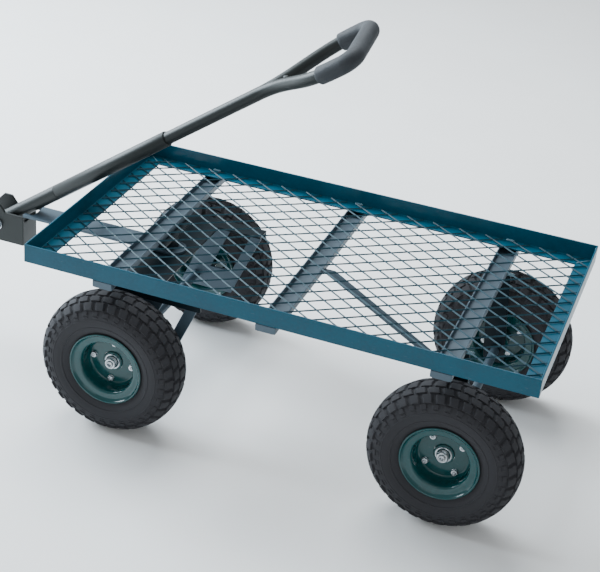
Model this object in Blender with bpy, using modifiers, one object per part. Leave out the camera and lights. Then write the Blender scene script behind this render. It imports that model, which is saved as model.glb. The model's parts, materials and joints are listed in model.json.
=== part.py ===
"""Garden cart: a steel mesh platform on four pneumatic wheels, steered by its front axle.

Frame: metres, +Z up, z = 0 is the ground.  The cart is drawn towards -X, so its left
side is -Y.  The origin is the middle of the whole cart's footprint.  Most positions
below are counted from the middle of the deck, which ROOT_X puts in its place.
"""
import math

import bmesh
import bpy

# ---------------------------------------------------------------- driving dimensions
ROOT_X = 0.101            # middle of the deck, measured from the middle of the footprint
GAP = 0.0003              # clearance between touching pieces

DECK_LENGTH = 0.860
DECK_WIDTH = 0.483
RAIL_TOP = 0.327
RAIL_LEG = 0.032          # upright leg of the angle iron
RAIL_FLANGE = 0.031       # flat leg of the angle iron
RAIL_THICK = 0.003

MESH_LWD = 0.0490         # long way of one diamond
MESH_SWD = 0.0353         # short way of one diamond
MESH_STRAND = 0.0032
MESH_THICK = 0.0035
MESH_PHASE = (-0.0215, 0.0291)   # one crossing of the strands
MESH_LENGTH = 0.851
MESH_WIDTH = 0.474
MESH_MARGIN = 0.0080      # plain edge kept around the diamonds

CROSS_X = (-0.288, -0.005, 0.280)
CROSS_WIDTH = 0.034
CROSS_DEPTH = 0.012
CROSS_THICK = 0.0025

FRONT_AXLE_X = -0.282
REAR_AXLE_X = 0.298
AXLE_RADIUS = 0.008
AXLE_END_RADIUS = 0.006
AXLE_END = 0.0195         # axle end, past the wheel's middle plane
STEP_AT = 0.0065          # where the axle steps down to its thread
NUT_BORE = 0.0073         # corner radius of a nut's six-sided bore

TYRE_RADIUS = 0.127
TYRE_WIDTH = 0.083
WHEEL_Y = 0.2015          # middle plane of a wheel
RIM_THICK = 0.0025
HUB_RADIUS = 0.0175
HUB_IN = -0.030
HUB_OUT = 0.006
BOLT_CIRCLE = 0.0355
BOLT_RADIUS = 0.0032

DRAWBAR_Z = 0.250
DRAWBAR_WIDTH = 0.048
DRAWBAR_THICK = 0.005
DRAWBAR_FRONT = -0.557
DRAWBAR_REAR = -0.247

CARRIER_FRONT = -0.045    # ends of the steering carrier, counted from the axle
CARRIER_REAR = 0.130
CARRIER_Y = 0.150
CARRIER_BAY_FRONT = 0.048 # the open bay between the carrier's two arms
CARRIER_BAY_Y = 0.118
CARRIER_THICK = 0.004
CARRIER_LIP = 0.227       # lower edge of the carrier's side lips
HANGER_THICK = 0.005
HANGER_Y = 0.1457         # outer face of a hanger

PIVOT_X = -0.610
PIVOT_Z = 0.2216
PIN_RADIUS = 0.006
HANDLE_LEAN = math.radians(36.2)
HANDLE_ROLL = math.radians(7.4)   # the grip sits slightly turned on its tube
LOWER_RADIUS = 0.0135
UPPER_RADIUS = 0.011
FOOT_END = 0.1375
LOWER_END = 0.395
LOOP_START = 0.5867
LOOP_SIDE = 0.7576
LOOP_END = 0.7954
LOOP_HALF = 0.0657
LOOP_CORNER = 0.022
GRIP_RADIUS = 0.015

WHEEL_BOLT_TURN = {"fl": -5.0, "fr": 20.0, "rl": 37.0, "rr": 62.0}

RAIL_BOTTOM = RAIL_TOP - RAIL_LEG
MESH_BOTTOM = RAIL_BOTTOM + RAIL_THICK + GAP
CROSS_TOP = RAIL_BOTTOM - GAP
CROSS_BOTTOM = CROSS_TOP - CROSS_DEPTH

# ---------------------------------------------------------------- scene helpers
for old in list(bpy.data.objects):
    bpy.data.objects.remove(old, do_unlink=True)

parts = bpy.data.collections.new("garden_cart")
cutters = bpy.data.collections.new("cutters")
bpy.context.scene.collection.children.link(parts)
bpy.context.scene.collection.children.link(cutters)


def material(name, colour, roughness, metallic):
    """Principled BSDF with one colour, one roughness and one metallic value."""
    mat = bpy.data.materials.new(name)
    mat.use_nodes = True
    shader = mat.node_tree.nodes["Principled BSDF"]
    shader.inputs["Base Color"].default_value = (*colour, 1.0)
    shader.inputs["Roughness"].default_value = roughness
    shader.inputs["Metallic"].default_value = metallic
    mat.diffuse_color = (*colour, 1.0)
    return mat


PAINT = material("teal_paint", (0.010, 0.085, 0.120), 0.38, 0.0)
SLATE = material("slate_paint", (0.055, 0.085, 0.115), 0.45, 0.0)
BLACK = material("black_enamel", (0.008, 0.010, 0.013), 0.18, 0.0)
FOAM = material("black_foam", (0.022, 0.024, 0.027), 0.75, 0.0)
RUBBER = material("tyre_rubber", (0.020, 0.021, 0.023), 0.70, 0.0)
RIM = material("rim_paint", (0.008, 0.060, 0.070), 0.30, 0.0)
ZINC = material("zinc", (0.55, 0.57, 0.58), 0.35, 1.0)


def empty(name, location, rotation=(0.0, 0.0, 0.0), parent=None):
    obj = bpy.data.objects.new(name, None)
    obj.empty_display_size = 0.05
    obj.location = location
    obj.rotation_euler = rotation
    obj.parent = parent
    parts.objects.link(obj)
    return obj


ROOT = empty("cart_origin", (ROOT_X, 0.0, 0.0))
STEER = empty("steering_axis", (FRONT_AXLE_X, 0.0, 0.0), parent=ROOT)
HANDLE = empty("handle_axis", (PIVOT_X - FRONT_AXLE_X, 0.0, PIVOT_Z),
               (0.0, -HANDLE_LEAN, 0.0), STEER)


def place(obj, name, parent, mat, location=(0.0, 0.0, 0.0), rotation=(0.0, 0.0, 0.0)):
    """Name an object, give it its material and hang it on its joint's empty."""
    obj.name = name
    obj.data.materials.clear()
    obj.data.materials.append(mat)
    obj.parent = parent
    obj.location = location
    obj.rotation_euler = rotation
    parts.objects.link(obj)
    return obj


def smooth(mesh, angle=35.0):
    mesh.shade_smooth()
    mesh.set_sharp_from_angle(angle=math.radians(angle))


def turned(profile, steps, closed):
    """A profile (radius, z) turned about Z; a closed profile is a ring's section."""
    mesh = bpy.data.meshes.new("turned")
    n = len(profile)
    edges = [(i, i + 1) for i in range(n - 1)] + ([(n - 1, 0)] if closed else [])
    mesh.from_pydata([(r, 0.0, z) for r, z in profile], edges, [])
    obj = bpy.data.objects.new("turned", mesh)
    screw = obj.modifiers.new("turn", "SCREW")
    screw.axis = "Z"
    screw.angle = math.tau
    screw.steps = screw.render_steps = steps
    screw.use_merge_vertices = True
    screw.merge_threshold = 0.00001
    screw.use_smooth_shade = steps > 6
    return obj


def outline(loops, thickness, name="plate"):
    """Flat outlines in XY (first the border, then its holes), thickness about z = 0."""
    curve = bpy.data.curves.new(name, "CURVE")
    curve.dimensions = "2D"
    curve.fill_mode = "BOTH"
    curve.extrude = thickness / 2
    for loop in loops:
        spline = curve.splines.new("POLY")
        spline.points.add(len(loop) - 1)
        for point, (x, y) in zip(spline.points, loop):
            point.co = (x, y, 0.0, 1.0)
        spline.use_cyclic_u = True
    return bpy.data.objects.new(name, curve)


def tube(points, radius, resolution=2, name="tube"):
    """A round bar of one radius along 3-D points, with filled caps."""
    curve = bpy.data.curves.new(name, "CURVE")
    curve.dimensions = "3D"
    curve.bevel_depth = radius
    curve.bevel_resolution = resolution
    curve.use_fill_caps = True
    spline = curve.splines.new("POLY")
    spline.points.add(len(points) - 1)
    for point, co in zip(spline.points, points):
        point.co = (*co, 1.0)
    return bpy.data.objects.new(name, curve)


def as_mesh(obj):
    """The evaluated shape of a curve or of a modified object, as a welded mesh object."""
    bpy.context.scene.collection.objects.link(obj)
    graph = bpy.context.evaluated_depsgraph_get()
    mesh = bpy.data.meshes.new_from_object(obj.evaluated_get(graph))
    solid = bpy.data.objects.new(obj.name, mesh)
    solid.matrix_world = obj.matrix_world.copy()
    bpy.data.objects.remove(obj, do_unlink=True)
    work = bmesh.new()
    work.from_mesh(mesh)
    bmesh.ops.remove_doubles(work, verts=work.verts, dist=0.00001)
    bmesh.ops.recalc_face_normals(work, faces=work.faces)
    work.to_mesh(mesh)
    work.free()
    return solid


def box(x0, x1, y0, y1, z0, z1):
    """A box between two corners, as an object at the origin."""
    work = bmesh.new()
    bmesh.ops.create_cube(work, size=1.0)
    bmesh.ops.scale(work, vec=(x1 - x0, y1 - y0, z1 - z0), verts=work.verts)
    bmesh.ops.translate(work, vec=((x0 + x1) / 2, (y0 + y1) / 2, (z0 + z1) / 2),
                        verts=work.verts)
    mesh = bpy.data.meshes.new("box")
    work.to_mesh(mesh)
    work.free()
    return bpy.data.objects.new("box", mesh)


def rod(radius, half, centre, axis, sides=16):
    """A plain cylinder of one radius about an axis (X, Y or Z), as an object."""
    work = bmesh.new()
    bmesh.ops.create_cone(work, cap_ends=True, segments=sides, radius1=radius,
                          radius2=radius, depth=2 * half)
    mesh = bpy.data.meshes.new("rod")
    work.to_mesh(mesh)
    work.free()
    obj = bpy.data.objects.new("rod", mesh)
    obj.rotation_euler = {"X": (0, math.pi / 2, 0), "Y": (math.pi / 2, 0, 0),
                          "Z": (0, 0, 0)}[axis]
    obj.location = centre
    return obj


def combine(obj, tools, operation):
    """Cut or join an object with tools given in its own coordinates."""
    for tool in tools:
        cutters.objects.link(tool)
        tool.parent = obj
        tool.hide_render = True
        tool.display_type = "WIRE"
        step = obj.modifiers.new(operation.lower(), "BOOLEAN")
        step.operation = operation
        step.solver = "EXACT"
        step.object = tool
    return obj


def circle(x, y, radius, sides=12):
    return [(x + radius * math.cos(math.tau * i / sides),
             y + radius * math.sin(math.tau * i / sides)) for i in range(sides)]


# ---------------------------------------------------------------- deck frame
def rail(name, length, location, rotation):
    """Angle iron along X with its upright leg outside (-Y), its ends mitred."""
    t = RAIL_THICK
    section = [(0.0, 0.0), (RAIL_FLANGE, 0.0), (RAIL_FLANGE, t), (t, t), (t, RAIL_LEG),
               (0.0, RAIL_LEG)]
    bar = as_mesh(outline([section], length))
    half = length / 2
    for vert in bar.data.vertices:      # section (inwards, up) lies in XY, length in Z
        inwards, up, along = vert.co
        end = half - inwards - GAP / 2
        vert.co = (math.copysign(end, along), inwards, up)
    work = bmesh.new()
    work.from_mesh(bar.data)
    bmesh.ops.recalc_face_normals(work, faces=work.faces)
    work.to_mesh(bar.data)
    work.free()
    place(bar, name, ROOT, PAINT, location, rotation)


half_l, half_w = DECK_LENGTH / 2, DECK_WIDTH / 2
rail("rail_left", DECK_LENGTH, (0, -half_w, RAIL_BOTTOM), (0, 0, 0))
rail("rail_right", DECK_LENGTH, (0, half_w, RAIL_BOTTOM), (0, 0, math.pi))
rail("rail_front", DECK_WIDTH, (-half_l, 0, RAIL_BOTTOM), (0, 0, -math.pi / 2))
rail("rail_rear", DECK_WIDTH, (half_l, 0, RAIL_BOTTOM), (0, 0, math.pi / 2))


def diamonds():
    """Openings between the strands: a staggered grid of four-cornered holes."""
    slope = math.atan2(MESH_SWD, MESH_LWD)
    a = MESH_LWD / 2 - MESH_STRAND / 2 / math.sin(slope)
    b = MESH_SWD / 2 - MESH_STRAND / 2 / math.cos(slope)
    room_x = MESH_LENGTH / 2 - MESH_MARGIN - a
    room_y = MESH_WIDTH / 2 - MESH_MARGIN - b
    holes = []
    for i in range(-40, 41):
        for j in range(-30, 31):
            if (i + j) % 2 == 0:
                continue
            x = MESH_PHASE[0] + i * MESH_LWD / 2
            y = MESH_PHASE[1] + j * MESH_SWD / 2
            if abs(x) < room_x and abs(y) < room_y:
                holes.append([(x - a, y), (x, y - b), (x + a, y), (x, y + b)])
    return holes


def rectangle(width, height):
    x, y = width / 2, height / 2
    return [(-x, -y), (x, -y), (x, y), (-x, y)]


sheet = as_mesh(outline([rectangle(MESH_LENGTH, MESH_WIDTH)] + diamonds(), MESH_THICK))
place(sheet, "deck_mesh", ROOT, PAINT, (0, 0, MESH_BOTTOM + MESH_THICK / 2))

for name, x in zip(("cross_front", "cross_middle", "cross_rear"), CROSS_X):
    w, d, t = CROSS_WIDTH / 2, CROSS_DEPTH, CROSS_THICK
    channel = [(-w, d), (-w, 0.0), (w, 0.0), (w, d), (w - t, d), (w - t, t),
               (t - w, t), (t - w, d)]
    place(as_mesh(outline([channel], DECK_WIDTH)), name, ROOT, PAINT,
          (x, 0, CROSS_BOTTOM), (math.pi / 2, 0, 0))

# ---------------------------------------------------------------- rear axle
REAR_PLATE = [(REAR_AXLE_X - 0.036, CROSS_BOTTOM - GAP), (REAR_AXLE_X + 0.004, CROSS_BOTTOM - GAP),
              (REAR_AXLE_X + 0.019, 0.112), (REAR_AXLE_X + 0.013, 0.104),
              (REAR_AXLE_X - 0.013, 0.104), (REAR_AXLE_X - 0.019, 0.112)]
for name, side in (("rear_hanger_left", -1), ("rear_hanger_right", 1)):
    plate = as_mesh(outline([REAR_PLATE, circle(REAR_AXLE_X, TYRE_RADIUS,
                                                AXLE_RADIUS + GAP, 16)], HANGER_THICK))
    place(plate, name, ROOT, PAINT, (0, side * (HANGER_Y - HANGER_THICK / 2), 0),
          (math.pi / 2, 0, 0))


def axle(name, parent, x):
    """A round bar along Y whose ends step down to their threads."""
    step, end = WHEEL_Y + STEP_AT, WHEEL_Y + AXLE_END
    profile = [(0, end), (AXLE_END_RADIUS, end), (AXLE_END_RADIUS, step),
               (AXLE_RADIUS, step), (AXLE_RADIUS, -step), (AXLE_END_RADIUS, -step),
               (AXLE_END_RADIUS, -end), (0, -end)]
    place(as_mesh(turned(profile, 16, False)), name, parent, ZINC, (x, 0, TYRE_RADIUS),
          (math.pi / 2, 0, 0))
    nut = [(NUT_BORE, 0.0100), (0.0098, 0.0100), (0.0110, 0.0085), (0.0110, 0.0),
           (NUT_BORE, 0.0)]
    for tag, side in (("left", -1), ("right", 1)):
        place(as_mesh(turned(nut, 6, True)), name + "_nut_" + tag, parent, ZINC,
              (x, side * (WHEEL_Y + STEP_AT + GAP), TYRE_RADIUS),
              (-side * math.pi / 2, 0, 0))


axle("rear_axle", ROOT, REAR_AXLE_X)
axle("front_axle", STEER, 0.0)

# A flat strut runs from the middle cross member down to the middle of the rear axle.
strut_top = (CROSS_X[1] + CROSS_WIDTH / 2 + 0.010, CROSS_BOTTOM - GAP)
strut_low = (REAR_AXLE_X - AXLE_RADIUS - 0.004, TYRE_RADIUS + 0.004)
STRUT = [(strut_top[0] - 0.034, strut_top[1]), (strut_top[0] + 0.006, strut_top[1]),
         (strut_low[0], strut_low[1] + 0.006), (strut_low[0], strut_low[1] - 0.005),
         (strut_top[0] - 0.009, strut_top[1] - 0.005), (strut_top[0] - 0.034, strut_top[1] - 0.005)]
place(as_mesh(outline([STRUT], 0.010)), "rear_strut", ROOT, SLATE, (0, 0, 0),
      (math.pi / 2, 0, 0))

# ---------------------------------------------------------------- steering
king_top = CROSS_BOTTOM - GAP
king_low = DRAWBAR_Z + DRAWBAR_THICK / 2 + 0.0006
plate_low = king_top - 0.005
king = box(-0.021, 0.021, -0.055, 0.055, plate_low, king_top)
boss = rod(0.020, (plate_low + 0.002 - king_low) / 2,
           (0, 0, (plate_low + 0.002 + king_low) / 2), "Z", 20)
bore = rod(AXLE_RADIUS + GAP, 0.0145, (0, 0, king_low + 0.0085), "Z", 16)
place(king, "king_plate", ROOT, SLATE, (FRONT_AXLE_X, 0, 0))
combine(king, [boss], "UNION")
combine(king, [bore], "DIFFERENCE")

carrier_top = DRAWBAR_Z - DRAWBAR_THICK / 2 - GAP
carrier_low = carrier_top - CARRIER_THICK
head_top = carrier_low - GAP
KINGPIN = [(0, king_low + 0.022), (AXLE_RADIUS, king_low + 0.022), (AXLE_RADIUS, head_top),
           (0.0145, head_top), (0.0145, head_top - 0.008), (0, head_top - 0.008)]
place(as_mesh(turned(KINGPIN, 12, False)), "kingpin", ROOT, ZINC, (FRONT_AXLE_X, 0, 0))

w, t = CARRIER_Y, CARRIER_THICK
LIPPED = [(-w, carrier_top), (-w, CARRIER_LIP), (t - w, CARRIER_LIP), (t - w, carrier_low),
          (w - t, carrier_low), (w - t, CARRIER_LIP), (w, CARRIER_LIP), (w, carrier_top)]
carrier = as_mesh(outline([LIPPED], CARRIER_REAR - CARRIER_FRONT))
middle = (CARRIER_FRONT + CARRIER_REAR) / 2
place(carrier, "steering_carrier", STEER, SLATE, (middle, 0, 0),
      (math.pi / 2, 0, math.pi / 2))
bay = box(-CARRIER_BAY_Y, CARRIER_BAY_Y, carrier_low - 0.01, carrier_top + 0.01,
          CARRIER_BAY_FRONT - middle, CARRIER_REAR + 0.01 - middle)
combine(carrier, [rod(AXLE_RADIUS + GAP, 0.02, (0, carrier_top, -middle), "Y", 16), bay],
        "DIFFERENCE")

# Front hangers: plates with a window, whose two legs lean towards the axle.
LEANING = [(0.026, carrier_low - GAP), (0.1285, carrier_low - GAP), (0.0716, 0.104),
           (-0.030, 0.104)]
WINDOW = [(0.0620, 0.2315), (0.1035, 0.2315), (0.0700, 0.1500), (0.0275, 0.1500)]
for name, side in (("front_hanger_left", -1), ("front_hanger_right", 1)):
    frame = [LEANING, WINDOW, circle(0, TYRE_RADIUS, AXLE_RADIUS + GAP, 16)]
    place(as_mesh(outline(frame, HANGER_THICK)), name, STEER, SLATE,
          (0, side * (HANGER_Y - GAP - HANGER_THICK / 2), 0), (math.pi / 2, 0, 0))

# Drawbar: a flat bar, rounded behind, with a notch in front for the handle's tube.
front = DRAWBAR_FRONT - FRONT_AXLE_X
rear = DRAWBAR_REAR - FRONT_AXLE_X
w, notch = DRAWBAR_WIDTH / 2, 0.0155
BAR = [(front, -w), (rear - w, -w)]
BAR += [(rear - w + w * math.sin(a), -w * math.cos(a))
        for a in (math.pi * i / 8 for i in range(1, 8))]
BAR += [(rear - w, w), (front, w), (front, notch), (front + 0.017, notch),
        (front + 0.017, -notch), (front, -notch)]
place(as_mesh(outline([BAR, circle(0, 0, AXLE_RADIUS + GAP, 16)], DRAWBAR_THICK)),
      "drawbar", STEER, SLATE, (0, 0, DRAWBAR_Z))

# Clevis: two cheeks joined by a web behind, carrying the handle's pin.
cheek_top = DRAWBAR_Z - DRAWBAR_THICK / 2 - GAP
back, nose = 0.054, -0.022            # along X, counted from the pin
CHEEK = [(back, -0.0326), (back, cheek_top - PIVOT_Z), (0.017, cheek_top - PIVOT_Z),
         (0.006, 0.0400), (-0.010, 0.0400), (nose, 0.0270), (nose, -0.0326)]
clevis = as_mesh(outline([CHEEK], 0.049))
place(clevis, "clevis", STEER, BLACK, (PIVOT_X - FRONT_AXLE_X, 0, PIVOT_Z),
      (math.pi / 2, 0, 0))
combine(clevis, [box(nose - 0.01, back - 0.005, -0.05, 0.05, -0.0195, 0.0195),
                 box(back - 0.02, back + 0.01, 0.0135, 0.05, -0.0195, 0.0195),
                 rod(PIN_RADIUS + GAP, 0.04, (0, 0, 0), "Z", 16)], "DIFFERENCE")

head = 0.0245 + GAP
PIN = [(0, head + 0.0075), (0.0115, head + 0.0075), (0.0115, head), (PIN_RADIUS, head),
       (PIN_RADIUS, -head - 0.0110), (0, -head - 0.0110)]
place(as_mesh(turned(PIN, 12, False)), "handle_pin", STEER, ZINC,
      (PIVOT_X - FRONT_AXLE_X, 0, PIVOT_Z), (math.pi / 2, 0, 0))
PIN_NUT = [(NUT_BORE, 0.0085), (0.0100, 0.0085), (0.0112, 0.0070), (0.0112, 0.0),
           (NUT_BORE, 0.0)]
place(as_mesh(turned(PIN_NUT, 6, True)), "handle_pin_nut", STEER, ZINC,
      (PIVOT_X - FRONT_AXLE_X, head, PIVOT_Z), (-math.pi / 2, 0, 0))

# ---------------------------------------------------------------- handle (along its own X)
SLEEVE = 0.040
FOOT = [(0, FOOT_END + SLEEVE), (UPPER_RADIUS, FOOT_END + SLEEVE),
        (UPPER_RADIUS, FOOT_END - GAP / 2), (LOWER_RADIUS, FOOT_END - GAP / 2),
        (LOWER_RADIUS, -0.0120), (0.0105, -0.0155), (0, -0.0165)]
foot = turned(FOOT, 16, False)
foot = as_mesh(foot)
place(foot, "handle_foot", HANDLE, BLACK, (0, 0, 0), (0, math.pi / 2, 0))
combine(foot, [rod(PIN_RADIUS + GAP, 0.03, (0, 0, 0), "Y", 16)], "DIFFERENCE")

inner = UPPER_RADIUS + GAP
LOWER = [(inner, LOWER_END), (LOWER_RADIUS, LOWER_END), (LOWER_RADIUS, FOOT_END + GAP / 2),
         (inner, FOOT_END + GAP / 2)]
place(as_mesh(turned(LOWER, 16, True)), "handle_lower_tube", HANDLE, BLACK, (0, 0, 0),
      (0, math.pi / 2, 0))


def branch(side, steps=9):
    """Half of the loop in (x, y): a flare, a straight side, a round corner."""
    reach = (LOOP_SIDE - LOOP_START) * 0.414
    knots = ((LOOP_START, 0), (LOOP_START + reach, 0), (LOOP_SIDE - reach, LOOP_HALF),
             (LOOP_SIDE, LOOP_HALF))
    path = []
    for i in range(steps):
        u = i / (steps - 1)
        weights = ((1 - u) ** 3, 3 * (1 - u) ** 2 * u, 3 * (1 - u) * u * u, u ** 3)
        path.append(tuple(sum(k[c] * f for k, f in zip(knots, weights)) for c in (0, 1)))
    for i in range(5):
        a = math.pi / 2 * i / 4
        path.append((LOOP_END - LOOP_CORNER * (1 - math.sin(a)),
                     LOOP_HALF - LOOP_CORNER * (1 - math.cos(a))))
    return [(x, side * y, 0.0) for x, y in path]


near, far = branch(-1), branch(1)
upper = as_mesh(tube([(LOWER_END - 0.060, 0, 0), (LOOP_START - 0.02, 0, 0)] + near
                     + far[::-1][:-3], UPPER_RADIUS, 2))
place(upper, "handle_upper_tube", HANDLE, BLACK, (0, 0, 0), (HANDLE_ROLL, 0, 0))
closing = as_mesh(tube([(LOOP_START - 0.016, 0.0, 0)] + far[1:5], UPPER_RADIUS - 0.0004, 2))
combine(upper, [closing], "UNION")

grip_path = near[-7:] + far[::-1][:7]
sleeve = as_mesh(tube(grip_path, GRIP_RADIUS, 3))
place(sleeve, "handle_grip", HANDLE, FOAM, (0, 0, 0), (HANDLE_ROLL, 0, 0))
combine(sleeve, [as_mesh(tube(near[-9:] + far[::-1][:9], UPPER_RADIUS + GAP, 2))], "DIFFERENCE")

# ---------------------------------------------------------------- wheels (about their own Z)
# Section of one pressed rim half, from the lip in to the disc: (radius, height).
RIM_PATH = [(0.0645, 0.0345), (0.0618, 0.0312), (0.0515, 0.0288), (0.0480, 0.0265),
            (0.0472, 0.0060), (0.0436, 0.0003 + RIM_THICK / 2), (0.0182, 0.0003 + RIM_THICK / 2)]


def offset(path, distance):
    """The path moved sideways, to the left of its direction, with mitred corners."""
    moved = []
    for i, (x, y) in enumerate(path):
        before = path[max(i - 1, 0)]
        after = path[min(i + 1, len(path) - 1)]
        normals = []
        for (x0, y0), (x1, y1) in ((before, (x, y)), ((x, y), after)):
            length = math.hypot(x1 - x0, y1 - y0)
            if length > 0:
                normals.append((-(y1 - y0) / length, (x1 - x0) / length))
        nx = sum(n[0] for n in normals) / len(normals)
        ny = sum(n[1] for n in normals) / len(normals)
        scale = distance / (nx * nx + ny * ny)
        moved.append((x + nx * scale, y + ny * scale))
    return moved


tyre_side = offset(RIM_PATH, RIM_THICK / 2)
bowl_side = offset(RIM_PATH, -RIM_THICK / 2)
OUTER_HALF = tyre_side + bowl_side[::-1]
flip = [(r, -z) for r, z in RIM_PATH][::-1]
flip[0] = (HUB_RADIUS, flip[0][1])
mate_side = offset(flip, RIM_THICK / 2)
hub_side = offset(flip, -RIM_THICK / 2)
INNER_HALF = ([(HUB_RADIUS, HUB_OUT)] + mate_side + hub_side[::-1]
              + [(HUB_RADIUS, HUB_IN), (AXLE_RADIUS + GAP, HUB_IN),
                 (AXLE_RADIUS + GAP, HUB_OUT)])
half_tyre = [(0.0500, 0.0245), (0.0620, 0.0255), (0.0790, 0.0375), (0.0990, 0.0415),
             (0.1160, 0.0340), (TYRE_RADIUS, 0.0130)]
half_air = [(0.0500, 0.0170), (0.0780, 0.0300), (0.1050, 0.0320), (0.1185, 0.0110)]
TYRE = (half_tyre + [(r, -z) for r, z in half_tyre[::-1]]
        + [(r, -z) for r, z in half_air] + half_air[::-1])
under = -(0.0003 + RIM_THICK + GAP)
over = 0.0003 + RIM_THICK + GAP
BOLT = [(0, over + 0.0045), (0.0059, over + 0.0045), (0.0059, over), (BOLT_RADIUS, over),
        (BOLT_RADIUS, under), (0.0059, under), (0.0059, under - 0.0050), (0, under - 0.0050)]

WHEELS = {"fl": (STEER, 0.0, -1), "fr": (STEER, 0.0, 1),
          "rl": (ROOT, REAR_AXLE_X, -1), "rr": (ROOT, REAR_AXLE_X, 1)}
for tag, (carrier_axis, x, side) in WHEELS.items():
    spin = empty("wheel_axis_" + tag, (x, side * WHEEL_Y, TYRE_RADIUS),
                 (-side * math.pi / 2, 0, 0), carrier_axis)
    place(as_mesh(turned(TYRE, 28, True)), "wheel_%s_tyre" % tag, spin, RUBBER)
    turns = [math.radians(WHEEL_BOLT_TURN[tag] + 90 * i) for i in range(4)]
    for part, profile in (("rim_outer", OUTER_HALF), ("rim_inner", INNER_HALF)):
        half = place(as_mesh(turned(profile, 18, True)), "wheel_%s_%s" % (tag, part), spin, RIM)
        combine(half, [rod(BOLT_RADIUS + GAP, 0.012, (BOLT_CIRCLE * math.cos(a),
                                                      BOLT_CIRCLE * math.sin(a), 0), "Z", 8)
                       for a in turns], "DIFFERENCE")
    for i, a in enumerate(turns):
        place(as_mesh(turned(BOLT, 6, False)), "wheel_%s_bolt_%d" % (tag, i + 1), spin, ZINC,
              (BOLT_CIRCLE * math.cos(a), BOLT_CIRCLE * math.sin(a), 0))

for obj in parts.objects:
    if obj.type == "MESH":
        smooth(obj.data)
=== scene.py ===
"""Looks of the garden cart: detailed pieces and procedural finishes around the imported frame.

Metres, +Z up, the ground at z = 0.  The cart is drawn towards -X; its left side is -Y.
"""
import json
import math

import bmesh
import bpy
import numpy as np
from bpy.props import FloatProperty, FloatVectorProperty, IntProperty, PointerProperty
from mathutils import Matrix, Vector


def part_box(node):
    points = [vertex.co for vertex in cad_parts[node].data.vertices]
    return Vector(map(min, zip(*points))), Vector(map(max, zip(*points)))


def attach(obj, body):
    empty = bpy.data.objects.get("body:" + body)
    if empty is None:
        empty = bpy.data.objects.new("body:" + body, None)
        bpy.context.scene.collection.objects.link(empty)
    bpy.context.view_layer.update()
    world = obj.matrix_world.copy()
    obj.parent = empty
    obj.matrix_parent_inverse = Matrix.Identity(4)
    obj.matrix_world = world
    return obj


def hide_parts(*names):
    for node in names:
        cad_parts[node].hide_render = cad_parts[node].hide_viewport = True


bl_info = {
    "name": "Garden Cart",
    "version": (1, 0, 0),
    "blender": (4, 5, 0),
    "location": "View3D > Sidebar > Garden Cart",
    "description": "Builds the detailed pieces of a steel mesh garden cart",
    "category": "Add Mesh",
}

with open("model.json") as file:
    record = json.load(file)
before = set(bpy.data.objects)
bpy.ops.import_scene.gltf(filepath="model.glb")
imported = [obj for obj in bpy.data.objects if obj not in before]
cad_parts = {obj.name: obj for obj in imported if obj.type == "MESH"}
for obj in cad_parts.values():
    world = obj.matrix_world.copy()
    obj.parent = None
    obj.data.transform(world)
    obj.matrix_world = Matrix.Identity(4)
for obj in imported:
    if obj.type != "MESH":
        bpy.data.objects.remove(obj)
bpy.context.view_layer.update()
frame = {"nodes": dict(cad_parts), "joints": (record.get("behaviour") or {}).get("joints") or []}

WHEELS = ("fl", "fr", "rl", "rr")


def span(node):
    """Lowest and highest corner of a frame node, as arrays."""
    low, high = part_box(node)
    return np.array(low), np.array(high)


def middle(node):
    low, high = span(node)
    return (low + high) / 2


# ---------------------------------------------------------------- places read from the frame
DECK_LOW, DECK_HIGH = span("deck_mesh")
RAIL_LEFT_LOW, RAIL_LEFT_HIGH = span("rail_left")
RAIL_RIGHT_HIGH = span("rail_right")[1]
DECK_MID = (DECK_LOW + DECK_HIGH) / 2
PIVOT = np.array(next(j["pos_m"] for j in frame["joints"] if j["name"] == "handle_pivot"))
WHEEL_MID = {tag: middle("wheel_%s_tyre" % tag) for tag in WHEELS}
WHEEL_BODY = {tag: "wheel_" + tag for tag in WHEELS}
HANDLE_LEAN = math.radians(36.2)     # the handle's tube above the level
HANDLE_ROLL = math.radians(7.4)      # the loop about the handle's tube


# ---------------------------------------------------------------- shader maths
class Socket:
    """An output socket, or a number, on which arithmetic adds Math nodes."""

    def __init__(self, tree, link):
        self.tree = tree
        self.link = link

    def math(self, operation, *values):
        node = self.tree.nodes.new("ShaderNodeMath")
        node.operation = operation
        for slot, value in zip(node.inputs, values):
            if isinstance(value, Socket):
                self.tree.links.new(value.link, slot)
            else:
                slot.default_value = value
        return Socket(self.tree, node.outputs[0])

    def __add__(self, other):
        return self.math("ADD", self, other)

    __radd__ = __add__

    def __sub__(self, other):
        return self.math("SUBTRACT", self, other)

    def __rsub__(self, other):
        return self.math("SUBTRACT", other, self)

    def __mul__(self, other):
        return self.math("MULTIPLY", self, other)

    __rmul__ = __mul__

    def clipped(self):
        return self.math("MAXIMUM", self.math("MINIMUM", self, 1.0), 0.0)


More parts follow.
